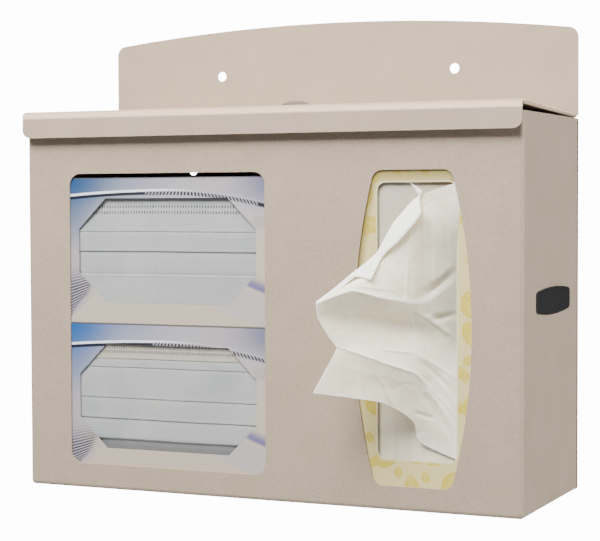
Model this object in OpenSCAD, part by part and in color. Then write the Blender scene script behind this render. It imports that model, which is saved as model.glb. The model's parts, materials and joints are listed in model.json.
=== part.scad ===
// Wall-mounted hygiene dispensing station: a folded steel housing with a
// hinged lid, two cartons of masks and a carton of tissues.
// X runs to the right, Y into the wall and Z up. The origin is the centre of
// the upper pair of wall-screw holes, on the wall face.

/* [Housing] */
// Width of the housing
housing_w = 395; // [385:1:460]
// Depth from the wall to the front face
housing_d = 139.5; // [136:0.5:180]
// Height of the side panels
side_h = 278.6; // [270:0.2:300]
// Thickness of the sheet steel
sheet_t = 1.2; // [1:0.1:1.5]
// Outside radius of the bends
bend_r = 3; // [2.4:0.1:5]
// Width of the return flanges along the bottom edges
return_w = 20; // [12:1:30]
// Width of the return flanges along the rear edges
rear_return_w = 16; // [10:1:22]
// Width of the lip on the front panel that the lid rests on
lip_w = 10; // [6:0.5:16]
// Distance from the lip's ends to the side faces
lip_inset = 14; // [8:1:30]
// Width of the slit at the end of the front return flange
slit_w = 0.8; // [0.5:0.1:2]

/* [Windows] */
// Width of the mask window
mask_window_w = 164; // [120:1:180]
// Height of the mask window
mask_window_h = 220; // [180:1:235]
// Corner radius of the mask window
mask_window_r = 9; // [3:0.5:20]
// How far the mask window and its cartons stand to the right of their bay's middle
mask_shift = -1.5; // [-2:0.1:2]
// Height of the mask window's sill above the floor
mask_sill = 3.1; // [1:0.1:8]
// Width of the tissue window at its middle
tissue_window_w = 86.8; // [78:0.2:96]
// Width of the tissue window at its ends
tissue_window_end_w = 57.4; // [40:0.2:66]
// Height of the tissue window
tissue_window_h = 222; // [200:1:230]
// Corner radius of the tissue window
tissue_window_r = 8; // [3:0.5:12]
// How far the tissue window stands to the right of its bay's middle
tissue_window_shift = -2.8; // [-4:0.1:4]
// Height of the tissue window's sill above the floor
tissue_sill = 1.5; // [0.5:0.1:6]

/* [Back plate] */
// Height of the back plate at its middle
plate_h = 358.8; // [340:0.2:400]
// How much lower the arched edge is at the sides
arch_drop = 12.5; // [4:0.5:20]
// Radius of the back plate's upper corners
plate_corner_r = 8; // [3:0.5:15]
// Diameter of the wall-screw holes
screw_hole_d = 7.9; // [4:0.1:9]
// Distance between the upper wall-screw holes
upper_holes_w = 200; // [150:1:300]
// How far the upper wall-screw holes lie below the top of the arch
upper_holes_drop = 39.5; // [30:0.5:50]
// Distance between the lower wall-screw holes
lower_holes_w = 254; // [200:1:300]
// How far the lower wall-screw holes lie below the upper ones
lower_holes_drop = 76.2; // [75:0.1:120]
// Width of the relief notches in the back plate's edges
notch_w = 2.4; // [1:0.1:4]
// Depth of the relief notches
notch_d = 3.2; // [1:0.1:6]

/* [Floor and divider] */
// Height of the raised floor's top face
floor_h = 15.8; // [10:0.1:18]
// Gap between the floor's ends and the side panels
floor_end_gap = 3; // [2:0.5:8]
// Part of the spare width that the mask side gets
mask_bay_share = 0.6; // [0.4:0.01:0.7]
// Height of the divider above the floor
divider_h = 230; // [150:1:236]
// Width of the divider's flange
divider_flange_w = 14; // [8:0.5:18]

/* [Lid] */
// How far the lid stands out past each side panel
lid_side_overhang = 0.6; // [-4:0.1:3]
// How far the lid's flange hangs in front of the front panel
lid_overhang = 5.8; // [3:0.1:12]
// Height of the lid's front flange
lid_flange_h = 20; // [16:0.5:30]
// Corner radius of the lid's front flange
lid_corner_r = 6.5; // [2:0.5:10]
// Radius of the front flange's upper corners, at the ends of the bend
lid_top_r = 2.4; // [0.6:0.1:3]
// Width of the folded hems along the lid's sides
hem_w = 9; // [5:0.5:14]
// Gap inside a hem
hem_gap = 0.5; // [0.2:0.1:1]
// Angle at which the closed lid rises to the front
lid_rest_deg = 1.8; // [0:0.1:3]
// Gap between the closed lid and the lip
lip_gap = 0.2; // [0.1:0.05:0.5]
// Gap between the closed lid's hems and the side panels
hem_clearance = 0.3; // [0.2:0.05:1]

/* [Hinge] */
// Outside radius of the knuckles
knuckle_r = 2.6; // [2.2:0.1:3.5]
// Radius of the pin
pin_r = 1.1; // [0.8:0.05:1.3]
// Clearance between the pin and the knuckles
pin_clearance = 0.05; // [0.02:0.01:0.1]
// Thickness of the leaves
leaf_t = 1; // [0.7:0.1:1.2]
// Width of the leaves
leaf_w = 20; // [12:0.5:28]
// Number of knuckles
knuckles = 15; // [7:2:21]
// Gap between neighbouring knuckles
knuckle_gap = 0.4; // [0.2:0.1:1]
// Gap between the hinge's ends and the rear return flanges
hinge_end_gap = 2; // [1:0.5:10]
// Gap between the knuckles and the edges of the lid and the leaves
knuckle_clearance = 0.4; // [0.3:0.1:1]

/* [Small parts] */
// Radius of the lid's bumper
bumper_r = 11; // [6:0.5:13]
// Height of the lid's bumper
bumper_h = 9.4; // [5:0.2:10]
// How much of the bumper's height is its domed top
bumper_rise = 2.9; // [1:0.1:4]
// Distance from the hinge's axis to the bumper
bumper_reach = 71; // [60:1:74]
// Width of the label plate
label_w = 84; // [40:1:100]
// Height of the label plate at its middle
label_h = 19.8; // [14:0.1:30]
// How far the label plate's long edges bow out
label_bow = 2.6; // [0.5:0.1:3]
// Thickness of the label plate
label_t = 0.8; // [0.5:0.1:1.5]
// Corner radius of the label plate
label_r = 2.5; // [1:0.5:4]
// Distance from the wall to the label plate's middle
label_y = 68; // [55:1:85]
// Height of the label plate's middle
label_z = 146.3; // [100:0.1:200]

/* [Cartons of masks] */
// Depth of a mask carton
mask_carton_d = 95; // [70:1:120]
// Height of a mask carton
mask_carton_h = 110; // [106:0.5:114]
// Thickness of the paperboard
board_t = 0.6; // [0.4:0.1:1]
// Width of the octagonal tear-out
octagon_w = 149; // [120:1:160]
// Height of the octagonal tear-out
octagon_h = 79; // [60:0.5:84]
// Width and height of the octagon's corner cuts
octagon_cut = 23; // [10:0.5:30]
// Width of a mask
mask_w = 175; // [165:1:210]
// Gap between the masks and the sides of their carton
mask_side_gap = 7.5; // [2:0.5:10]
// Height of a folded mask
mask_h = 91.2; // [85:0.2:100]
// How far the lower front mask has been drawn up
lower_mask_lift = 21.6; // [10:0.2:24]
// Thickness of the folded front mask
mask_t = 2.6; // [1.8:0.1:4]
// Depth of a pleat's lip
pleat_lip = 0.9; // [0.4:0.1:1.5]
// Gap between the front mask and the carton's front
mask_gap = 1; // [0.5:0.1:3]
// Depth of one mask in the stack
stack_pitch = 4; // [3:0.5:6]

/* [Carton of tissues] */
// Width of the tissue carton
tissue_carton_w = 120; // [100:1:124]
// Depth of the tissue carton
tissue_carton_d = 90; // [60:1:120]
// Height of the tissue carton
tissue_carton_h = 235; // [225:1:240]
// Width of the carton's opening
tear_w = 58.8; // [50:0.2:64]
// Height of the carton's opening
tear_h = 194.5; // [180:0.5:200]
// Corner radius of the carton's opening
tear_r = 6; // [2:0.5:10]
// Gap between the tissues and the carton's front
tissue_recess = 6.6; // [6:0.1:12]
// Thickness of the pulled tissue
tissue_t = 0.5; // [0.3:0.1:1]

/* [Hidden] */
$fn = 64;
steel = [0.77, 0.72, 0.66];
bare_steel = [0.62, 0.62, 0.62];
board = [0.88, 0.87, 0.9];
fleece = [0.74, 0.75, 0.74];
paper = [0.93, 0.92, 0.89];
over = 1;
nip = 0.002;
half_w = housing_w / 2;
inner_half_w = half_w - sheet_t;
upper_holes_z = plate_h - upper_holes_drop;
lid_w = housing_w + 2 * lid_side_overhang;

// The width that the cartons leave is shared between the two bays beside the divider
mask_carton_w = mask_w + 2 * mask_side_gap;
spare_w = 2 * inner_half_w - sheet_t - mask_carton_w - tissue_carton_w;
mask_bay_w = mask_carton_w + mask_bay_share * spare_w;
divider_x = mask_bay_w - inner_half_w;
mask_window_x = (divider_x - inner_half_w) / 2 + mask_shift;
tissue_carton_x = (divider_x + sheet_t + inner_half_w) / 2;
tissue_window_x = tissue_carton_x + tissue_window_shift;
front_y = -housing_d;
inner_front_y = front_y + sheet_t;
plate_front_y = -sheet_t;
inner_back_y = plate_front_y - sheet_t;

// Hinge axis: the knuckles touch the back plate, and their tops are level with the lid's top
hinge_y = plate_front_y - knuckle_r;
hem_r = (2 * sheet_t + hem_gap) / 2;
hinge_z = side_h + hem_clearance - (knuckle_r - 2 * hem_r);
hinge_w = housing_w - 2 * rear_return_w - 2 * hinge_end_gap;
knuckle_pitch = hinge_w / knuckles;
lid_under = knuckle_r - sheet_t;
lid_reach = housing_d + lid_overhang + hinge_y;
lid_rear = knuckle_r + knuckle_clearance;

// The lip's rear edge is where the sloping lid comes down on it, to a hundredth of a millimetre
lip_top = floor(100 * (hinge_z + lid_under / cos(lid_rest_deg)
        + (hinge_y - front_y - lip_w) * tan(lid_rest_deg) - lip_gap)) / 100;

// Cartons stand on the floor against the front panel
mask_carton_front = inner_front_y;
mask_front_y = mask_carton_front + board_t + mask_gap;
stack_front_y = mask_front_y + mask_t;
stack_count = floor((mask_carton_front + mask_carton_d - board_t - over - stack_front_y) / stack_pitch);
upper_pleats = [23.2, 37.2, 54.5];
lower_pleats = [25.2, 31.6, 54.9, 70.6];
tissue_front_y = inner_front_y + board_t + tissue_recess;
tissue_edge_r = 3;

// Points of the pulled tissue in rows from its top edge to its bottom one, each row from the free
// edge to the held one, measured from the middle of the carton's opening on the tissues' face
tissue_net = [[[-55, -57, 16], [-30, -36, 38], [-9, -17, 78], [2, -8, 93], [26, -0.3, 94]],
              [[-54.5, -58, 14.5], [-31, -50, 23], [-14, -38, 18], [4, -18, 15], [27, -0.3, 33]],
              [[-54, -54, 5], [-37, -39, 4], [-20, -27, 2], [2, -10, -4], [27, -0.3, -12]],
              [[-44, -47, -16], [-35, -42, -19], [-17, -34, -25], [4, -19, -35], [27, -0.3, -62]],
              [[-56.5, -59, -46.5], [-33, -38, -52], [-8, -20, -62], [4, -5, -88], [26, -0.3, -96]]];
tissue_fold = 1.5;
tissue_rays = 5;
tissue_rows = 24;
tissue_cols = 14;

// Moves a shape from the housing's bottom edge to the frame's origin
module place() {
    translate([0, 0, -upper_holes_z]) children();
}

// Moves a shape drawn about the hinge's axis to the closed lid's place
module place_lid() {
    place() translate([0, hinge_y, hinge_z]) rotate([-lid_rest_deg, 0, 0]) children();
}

module rounded_rect(w, h, r) {
    square([w - 2 * r, h], center = true);
    square([w, h - 2 * r], center = true);
    for (x = [-1, 1], y = [-1, 1])
        translate([x * (w / 2 - r), y * (h / 2 - r)]) circle(r);
}

// Stands a drawing in X and Z upright, with its front face at y and its depth towards the wall
module upright(y, depth) {
    translate([0, y + depth, 0]) rotate([90, 0, 0]) linear_extrude(depth) children();
}

// Draws a profile in Y and Z and runs it along X over a length centred on zero
module along_x(length) {
    translate([-length / 2, 0, 0]) rotate([90, 0, 90]) linear_extrude(length) children();
}

// Tray with rounded upright edges and rounded bottom edges
module tray(x, y0, y1, h, r) {
    translate([-x + r, y0, r]) cube([2 * (x - r), y1 - y0, h - r]);
    translate([-x, y0 + r, r]) cube([2 * x, y1 - y0 - 2 * r, h - r]);
    translate([-x + r, y0 + r, 0]) cube([2 * (x - r), y1 - y0 - 2 * r, h]);
    for (cx = [-x + r, x - r], cy = [y0 + r, y1 - r]) {
        translate([cx, cy, r]) cylinder(r = r, h = h - r);
        translate([cx, cy, r]) sphere(r);
    }
    for (cx = [-x + r, x - r])
        translate([cx, y0 + r, r]) rotate([-90, 0, 0]) cylinder(r = r, h = y1 - y0 - 2 * r);
    for (cy = [y0 + r, y1 - r])
        translate([-x + r, cy, r]) rotate([0, 90, 0]) cylinder(r = r, h = 2 * (x - r));
}

// Quarter of a bend in Y and Z about the origin, from the front round to the top
module bend_profile(r) {
    intersection() {
        difference() {
            circle(r);
            circle(r - sheet_t);
        }
        translate([-r - over, 0]) square(r + over);
    }
}

module mask_window() {
    translate([mask_window_x, floor_h + mask_sill + mask_window_h / 2])
        rounded_rect(mask_window_w, mask_window_h, mask_window_r);
}

// Shape with bowed sides: an arc runs along each side, and a fillet joins it to the ends
module bowed(w, end_w, h, r) {
    a = w / 2;
    half_h = h / 2;
    bow = a - end_w / 2;
    side_r = (half_h * half_h + bow * bow) / (2 * bow);
    cz = half_h - r;
    cx = a - side_r + sqrt(pow(side_r - r, 2) - cz * cz);
    tangent = [cx + side_r - a, cz] / (side_r - r);
    difference() {
        intersection() {
            square([w + 2 * over, h], center = true);
            translate([a - side_r, 0]) circle(side_r, $fn = 256);
            translate([side_r - a, 0]) circle(side_r, $fn = 256);
        }
        for (sx = [0, 1], sz = [0, 1])
            mirror([sx, 0]) mirror([0, sz])
                polygon([[cx, cz], [cx, cz + 2 * r], [cx + 2 * r, cz + 2 * r],
                         [cx, cz] + 2 * r * tangent]);
    }
    // A hair larger, so that the fillets cross the sides instead of only touching them
    for (x = [-cx, cx], z = [-cz, cz]) translate([x, z]) circle(r + nip);
}

module tissue_window() {
    translate([tissue_window_x, floor_h + tissue_sill + tissue_window_h / 2])
        bowed(tissue_window_w, tissue_window_end_w, tissue_window_h, tissue_window_r);
}

module housing_shell() {
    lip_half = half_w - lip_inset;
    color(steel) place() {
        difference() {
            tray(half_w, front_y, plate_front_y, side_h, bend_r);
            translate([0, 0, sheet_t])
                tray(inner_half_w, inner_front_y, inner_back_y, side_h, bend_r - sheet_t);
            // Open top, and the open middles of the bottom and the rear
            translate([-half_w + return_w, front_y + return_w, -over])
                cube([housing_w - 2 * return_w, housing_d, return_w]);
            translate([-half_w + rear_return_w, inner_back_y - over, -over])
                cube([housing_w - 2 * rear_return_w, sheet_t + 2 * over, side_h + 2 * over]);
            upright(front_y - over, sheet_t + 2 * over) {
                mask_window();
                tissue_window();
            }
            // Slits where the front return flange ends beside the side ones
            for (s = [-1, 1])
                translate([s * (half_w - return_w) - slit_w / 2, front_y - over, -over])
                    cube([slit_w, return_w + over, over + bend_r / 2]);
        }
        // Lip for the lid along the top of the front panel
        along_x(2 * lip_half) {
            translate([front_y, side_h]) square([sheet_t, lip_top - bend_r - side_h]);
            translate([front_y + bend_r, lip_top - bend_r]) bend_profile(bend_r);
            translate([front_y + bend_r, lip_top - sheet_t]) square([lip_w - bend_r, sheet_t]);
        }
    }
}

// Outline of the back plate: straight sides, an arched top and rounded corners
module plate_outline() {
    r = plate_corner_r;
    foot_r = bend_r * 0.7;
    arch_r = (half_w * half_w + arch_drop * arch_drop) / (2 * arch_drop);
    cx = half_w - r;
    cz = plate_h - arch_r + sqrt(pow(arch_r - r, 2) - cx * cx);
    tangent = [cx, cz - plate_h + arch_r] / (arch_r - r);
    difference() {
        intersection() {
            union() {
                translate([-half_w, foot_r]) square([housing_w, plate_h - foot_r]);
                translate([foot_r - half_w, 0]) square([housing_w - 2 * foot_r, foot_r]);
                for (x = [foot_r - half_w, half_w - foot_r]) translate([x, foot_r]) circle(foot_r);
            }
            translate([0, plate_h - arch_r]) circle(arch_r, $fn = 512);
        }
        for (s = [0, 1])
            mirror([s, 0])
                polygon([[cx, cz], [cx + 2 * r, cz], [cx + 2 * r, cz + 2 * r],
                         [cx, cz] + 2 * r * tangent]);
    }
    for (x = [-cx, cx]) translate([x, cz]) circle(r);
}

module back_plate() {
    notch_z = side_h + notch_w / 2;
    color(steel) place() difference() {
        upright(plate_front_y, sheet_t) difference() {
            plate_outline();
            for (s = [-1, 1])
                translate([s * half_w, notch_z]) square([2 * notch_d, notch_w], center = true);
        }
        for (s = [-1, 1]) {
            translate([s * upper_holes_w / 2, over, upper_holes_z]) screw_hole();
            translate([s * lower_holes_w / 2, over, upper_holes_z - lower_holes_drop]) screw_hole();
        }
    }
}

module screw_hole() {
    rotate([90, 0, 0]) cylinder(d = screw_hole_d, h = sheet_t + 2 * over);
}

// Raised floor: an inverted channel between the front panel and the rear return flanges
module floor_channel() {
    y0 = inner_front_y;
    y1 = inner_back_y;
    leg_z = bend_r;
    color(steel) place() along_x(housing_w - 2 * sheet_t - 2 * floor_end_gap) {
        for (s = [0, 1])
            translate([(y0 + y1) / 2, 0]) mirror([s, 0]) translate([-(y1 - y0) / 2, 0]) {
                translate([0, leg_z]) square([sheet_t, floor_h - bend_r - leg_z]);
                translate([bend_r, floor_h - bend_r]) bend_profile(bend_r);
            }
        translate([y0 + bend_r, floor_h - sheet_t]) square([y1 - y0 - 2 * bend_r, sheet_t]);
    }
}

// Partition folded from one sheet, with a flange against the back plate
module divider() {
    color(steel) place() translate([divider_x, 0, floor_h]) linear_extrude(divider_h) {
        translate([0, inner_front_y]) square([sheet_t, plate_front_y - bend_r - inner_front_y]);
        translate([bend_r, plate_front_y - bend_r]) bend_profile(bend_r);
        translate([bend_r, plate_front_y - sheet_t]) square([divider_flange_w - bend_r, sheet_t]);
    }
}

// Outline of the lid's front flange about the hinge's axis
module lid_front() {
    half = lid_w / 2;
    low = knuckle_r - lid_flange_h;
    mid_h = lid_flange_h - lid_corner_r;
    translate([lid_corner_r - half, low]) square([lid_w - 2 * lid_corner_r, lid_corner_r]);
    translate([-half, low + lid_corner_r]) square([lid_w, mid_h - lid_top_r]);
    translate([lid_top_r - half, low + lid_corner_r]) square([lid_w - 2 * lid_top_r, mid_h]);
    for (s = [-1, 1]) {
        translate([s * (half - lid_corner_r), low + lid_corner_r]) circle(lid_corner_r);
        translate([s * (half - lid_top_r), knuckle_r - lid_top_r]) circle(lid_top_r);
    }
}

// Lid drawn about the hinge's axis, level, with its front at -lid_reach
module lid() {
    half = lid_w / 2;
    hem_front = -lid_reach + bend_r + sheet_t;
    hem_len = -lid_rear - hem_front;
    color(steel) place_lid() {
        // Front flange, its bend and the top sheet's front edge, cut to the flange's outline
        intersection() {
            union() {
                translate([-half, -lid_reach + bend_r, lid_under])
                    cube([lid_w, hem_front + lid_reach - bend_r, sheet_t]);
                along_x(lid_w)
                    translate([-lid_reach + bend_r, knuckle_r - bend_r]) bend_profile(bend_r);
                translate([-half, -lid_reach, knuckle_r - lid_flange_h])
                    cube([lid_w, sheet_t, lid_flange_h - bend_r]);
            }
            upright(-lid_reach - over, hem_front + lid_reach + over) lid_front();
        }
        // Top sheet, narrower where the hems turn down
        translate([-half + hem_r, hem_front, lid_under])
            cube([lid_w - 2 * hem_r, hem_len, sheet_t]);
        for (s = [0, 1]) mirror([s, 0, 0]) hem(half, hem_front, hem_len);
    }
}

// Side edge of the lid folded back under itself
module hem(half, y0, length) {
    translate([half - hem_r, y0, knuckle_r - hem_r]) {
        rotate([-90, 0, 0]) linear_extrude(length) intersection() {
            difference() {
                circle(hem_r);
                circle(hem_r - sheet_t);
            }
            translate([0, -hem_r - over]) square(2 * (hem_r + over));
        }
        translate([hem_r - hem_w, 0, -hem_r]) cube([hem_w - hem_r, length, sheet_t]);
    }
}

// One knuckle of the hinge about its axis, on every second place from the first one given
module knuckle_row(first) {
    for (i = [first : 2 : knuckles - 1])
        translate([-hinge_w / 2 + (i + 0.5) * knuckle_pitch, 0, 0]) rotate([0, 90, 0])
            cylinder(r = knuckle_r, h = knuckle_pitch - knuckle_gap, center = true);
}

// Tabs that join the knuckles to their leaf, in Y from y0 and in Z from z0
module tab_row(first, y0, z0, size_y, size_z) {
    for (i = [first : 2 : knuckles - 1])
        translate([-hinge_w / 2 + i * knuckle_pitch + knuckle_gap / 2, y0, z0])
            cube([knuckle_pitch - knuckle_gap, size_y, size_z]);
}

module pin_bore() {
    rotate([0, 90, 0]) cylinder(r = pin_r + pin_clearance, h = hinge_w + 2 * over, center = true);
}

module hinge_fixed_leaf() {
    color(bare_steel) place() translate([0, hinge_y, hinge_z]) difference() {
        union() {
            knuckle_row(0);
            tab_row(0, knuckle_r - leaf_t, -lid_rear, leaf_t, lid_rear);
            translate([-hinge_w / 2, knuckle_r - leaf_t, -leaf_w])
                cube([hinge_w, leaf_t, leaf_w - lid_rear]);
        }
        pin_bore();
    }
}

module hinge_lid_leaf() {
    color(bare_steel) place_lid() difference() {
        union() {
            knuckle_row(1);
            tab_row(1, -lid_rear, lid_under - leaf_t, lid_rear, leaf_t);
            translate([-hinge_w / 2, -leaf_w, lid_under - leaf_t])
                cube([hinge_w, leaf_w - lid_rear, leaf_t]);
        }
        pin_bore();
    }
}

module hinge_pin() {
    color(bare_steel) place() translate([0, hinge_y, hinge_z]) rotate([0, 90, 0])
        cylinder(r = pin_r, h = hinge_w, center = true);
}

// Soft button with a domed top, which meets the back plate when the lid is open
module lid_bumper() {
    dome_r = (bumper_r * bumper_r + bumper_rise * bumper_rise) / (2 * bumper_rise);
    color([0.55, 0.5, 0.45]) place_lid() translate([0, -bumper_reach, knuckle_r]) intersection() {
        translate([0, 0, bumper_h - dome_r]) sphere(dome_r);
        cylinder(r = bumper_r, h = bumper_h);
    }
}

module label_plate() {
    color([0.16, 0.15, 0.15]) place() translate([half_w, -label_y, label_z])
        rotate([90, 0, 90]) linear_extrude(label_t)
            rotate(90) bowed(label_h, label_h - 2 * label_bow, label_w, label_r);
}

module octagon(w, h, cut) {
    polygon([for (s = [[1, 1, 0], [1, 1, 1], [-1, 1, 1], [-1, 1, 0],
                       [-1, -1, 0], [-1, -1, 1], [1, -1, 1], [1, -1, 0]])
        [s[0] * (w / 2 - s[2] * cut), s[1] * (h / 2 - (1 - s[2]) * cut)]]);
}

// Closed paperboard carton, centred in X, with its front at y and its base at z
module carton(w, d, h, y, z) {
    difference() {
        translate([-w / 2, y, z]) cube([w, d, h]);
        translate([-w / 2 + board_t, y + board_t, z + board_t])
            cube([w - 2 * board_t, d - 2 * board_t, h - 2 * board_t]);
        upright(y - over, board_t + 2 * over) translate([0, z + h / 2]) children();
    }
}

module mask_carton(level) {
    color(board) place() translate([mask_window_x, 0, 0])
        carton(mask_carton_w, mask_carton_d, mask_carton_h, mask_carton_front,
               floor_h + level * mask_carton_h)
            octagon(octagon_w, octagon_h, octagon_cut);
}

module mask_carton_lower() { mask_carton(0); }
module mask_carton_upper() { mask_carton(1); }

// Folded masks side by side, with a ridge along the top for each one
module mask_stack(level) {
    base = floor_h + level * mask_carton_h + board_t;
    ridge = pleat_lip;
    depth = stack_count * stack_pitch;
    edge = [for (i = [0 : stack_count - 1], k = [0, 1])
        [stack_front_y + (i + k / 2 + 0.25) * stack_pitch, base + mask_h - k * ridge]];
    color(fleece) place() translate([mask_window_x, 0, 0]) along_x(mask_w)
        polygon(concat([[stack_front_y, base], [stack_front_y, base + mask_h - ridge]], edge,
                       [[stack_front_y + depth, base + mask_h - ridge], [stack_front_y + depth, base]]));
}

module mask_stack_lower() { mask_stack(0); }
module mask_stack_upper() { mask_stack(1); }

// Pleated front mask between two heights in its carton: each panel leans out to its lower edge
// and steps back under it
module front_mask(level, low, high, pleats) {
    base = floor_h + level * mask_carton_h + board_t;
    thin_y = mask_front_y + pleat_lip;
    panels = [for (p = pleats, k = [0, 1])
        [k == 0 ? mask_front_y : thin_y, base + high - p - k * pleat_lip / 2]];
    color(fleece) place() translate([mask_window_x, 0, 0]) along_x(mask_w)
        polygon(concat([[stack_front_y, base + high], [thin_y, base + high]], panels,
                       [[mask_front_y + pleat_lip / 2, base + low], [stack_front_y, base + low]]));
}

module front_mask_lower() {
    front_mask(0, lower_mask_lift, mask_carton_h - 2 * board_t - mask_gap, lower_pleats);
}

module front_mask_upper() {
    front_mask(1, 0, mask_h, upper_pleats);
}

module tissue_carton() {
    color([0.9, 0.86, 0.68]) place() translate([tissue_carton_x, 0, 0])
        carton(tissue_carton_w, tissue_carton_d, tissue_carton_h, inner_front_y, floor_h)
            rounded_rect(tear_w, tear_h, tear_r);
}

// Interfolded tissues: a block with rounded upright edges
module tissue_stack() {
    w = tissue_carton_w - 2 * board_t - 2 * over;
    h = tissue_carton_h - 2 * board_t - 2 * over;
    depth = tissue_carton_d - 2 * board_t - tissue_recess - over;
    color(paper) place() translate([tissue_carton_x, tissue_front_y + depth / 2, floor_h + board_t])
        linear_extrude(h) rounded_rect(w, depth, tissue_edge_r);
}

// Smooth curve through the points p, with t from 0 to 1
function through(p, t) =
    let (last = len(p) - 1, i = min(floor(t * last), last - 1), f = t * last - i,
         a = p[max(i - 1, 0)], b = p[i], c = p[i + 1], d = p[min(i + 2, last)])
    b + f / 2 * (c - a + f * (2 * a - 5 * b + 4 * c - d + f * (3 * b - a - 3 * c + d)));

// Point of the pulled tissue, with u from the free edge to the held one and v from the top down
function tissue_point(u, v) =
    through([for (row = tissue_net) through(row, u)], v)
    - [0, tissue_fold * sin(180 * u) * pow(sin(180 * tissue_rays * v), 2), 0];

function split(f) = [[f[0], f[1], f[2]], [f[0], f[2], f[3]]];

// Sheet drawn out of the stack towards the left, with its held edge against the tissues
module pulled_tissue() {
    n = tissue_cols + 1;
    count = n * (tissue_rows + 1);
    back = [for (j = [0 : tissue_rows], i = [0 : tissue_cols])
        tissue_point(i / tissue_cols, j / tissue_rows)];
    points = concat(back, [for (p = back) p - [0, tissue_t, 0]]);
    skin = [for (j = [0 : tissue_rows - 1], i = [0 : tissue_cols - 1])
        [j * n + i, (j + 1) * n + i, (j + 1) * n + i + 1, j * n + i + 1]];
    rim = concat([for (i = [0 : tissue_cols]) i],
                 [for (j = [1 : tissue_rows]) j * n + tissue_cols],
                 [for (i = [tissue_cols - 1 : -1 : 0]) tissue_rows * n + i],
                 [for (j = [tissue_rows - 1 : -1 : 1]) j * n]);
    walls = [for (k = [0 : len(rim) - 1]) let (a = rim[k], b = rim[(k + 1) % len(rim)])
        [a, b, b + count, a + count]];
    color(paper) place() translate([tissue_carton_x, tissue_front_y, floor_h + tissue_carton_h / 2])
        polyhedron(points, concat([for (f = skin) each split(f)],
                                  [for (f = skin) each split([for (k = [3 : -1 : 0]) f[k] + count])],
                                  [for (f = walls) each split(f)]), convexity = 6);
}

housing_shell();
back_plate();
floor_channel();
divider();
lid();
hinge_fixed_leaf();
hinge_lid_leaf();
hinge_pin();
lid_bumper();
label_plate();
mask_carton_lower();
mask_carton_upper();
mask_stack_lower();
mask_stack_upper();
front_mask_lower();
front_mask_upper();
tissue_carton();
tissue_stack();
pulled_tissue();
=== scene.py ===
import json
import math

import bmesh
import bpy
from mathutils import Matrix, Vector, noise


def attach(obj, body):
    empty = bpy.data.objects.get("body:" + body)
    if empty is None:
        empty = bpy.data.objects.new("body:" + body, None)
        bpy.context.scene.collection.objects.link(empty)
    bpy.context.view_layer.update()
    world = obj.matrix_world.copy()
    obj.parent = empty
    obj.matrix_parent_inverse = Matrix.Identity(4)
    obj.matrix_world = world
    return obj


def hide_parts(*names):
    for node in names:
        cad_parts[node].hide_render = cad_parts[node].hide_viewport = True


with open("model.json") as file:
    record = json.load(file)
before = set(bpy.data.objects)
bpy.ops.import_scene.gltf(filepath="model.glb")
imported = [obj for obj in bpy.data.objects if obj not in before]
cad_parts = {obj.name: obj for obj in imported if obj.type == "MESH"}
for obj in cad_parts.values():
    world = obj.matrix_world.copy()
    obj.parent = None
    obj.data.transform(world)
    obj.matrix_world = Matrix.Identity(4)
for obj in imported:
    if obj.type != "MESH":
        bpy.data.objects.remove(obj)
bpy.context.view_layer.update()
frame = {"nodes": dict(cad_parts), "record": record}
nodes = frame["nodes"]
print("frame loaded:", len(nodes), "nodes")

baseBelowHoles = 319.3    # the frame's origin is the upper pair of wall holes, mm above the base


def spot(x, y, z):
    # millimetres from the middle, the wall and the bottom edge
    return Vector((x, y, z - baseBelowHoles)) * 0.001


def srgb(r, g, b):
    # display tones from 0 to 255 as a linear colour
    return tuple(c / 3294.6 if c <= 10 else ((c / 255 + 0.055) / 1.055) ** 2.4 for c in (r, g, b)) + (1,)


def addObject(name, data):
    thing = bpy.data.objects.new(name, data)
    bpy.context.collection.objects.link(thing)
    return thing


# camera, light and floor

# where the photo was taken from, in mm and degrees
cameraSetup = {"place": (542.4, -1272.5, 217.5), "yaw": 24.27, "down": 2.28, "roll": -0.21,
               "lens": 104.24, "sensor": 36, "sight": 300}


def addCamera(c):
    yaw, down, roll = (math.radians(c[k]) for k in ("yaw", "down", "roll"))
    ahead = Vector((-math.sin(yaw) * math.cos(down), math.cos(yaw) * math.cos(down), -math.sin(down)))
    level = Vector((math.cos(yaw), math.sin(yaw), 0))
    up = level.cross(ahead)
    right = level * math.cos(roll) + up * math.sin(roll)
    up = up * math.cos(roll) - level * math.sin(roll)
    data = bpy.data.cameras.new("photoCamera")
    data.sensor_width = c["sensor"]
    data.sensor_fit = "HORIZONTAL"
    data.lens = c["lens"]
    data.clip_end = c["sight"]
    camera = addObject("photoCamera", data)
    camera.matrix_world = Matrix.Translation(spot(*c["place"])) @ Matrix(
        (right, up, -ahead)).transposed().to_4x4()
    bpy.context.scene.camera = camera


lamps = {
    "overhead": {"place": (-200, -1120, 1470), "aim": (0, -80, 180), "size": (1.1, 0.75), "power": 96},
    "topStrip": {"place": (-60, -480, 1500), "aim": (0, -130, 200), "size": (1.3, 0.3), "power": 20},
    "rightFill": {"place": (2000, 160, 800), "aim": (150, -60, 160), "size": (1.4, 1.4), "power": 64},
    "backSoft": {"place": (-900, 2200, 900), "aim": (0, 0, 160), "size": (1.6, 1.6), "power": 60},
}
surround = {"skyLight": 0.085, "skyTint": (0.42, 0.7, 1, 1), "seenWhite": 14.0,
            "floorTone": (0.8, 0.8, 0.8, 1), "floorDrop": 1100, "floorReach": 120}


def addLamp(name, c):
    data = bpy.data.lights.new(name, "AREA")
    data.shape = "RECTANGLE"
    data.size, data.size_y = c["size"]
    data.energy = c["power"]
    place = spot(*c["place"])
    turn = (spot(*c["aim"]) - place).to_track_quat("-Z", "Y").to_matrix().to_4x4()
    addObject(name, data).matrix_world = Matrix.Translation(place) @ turn


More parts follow.
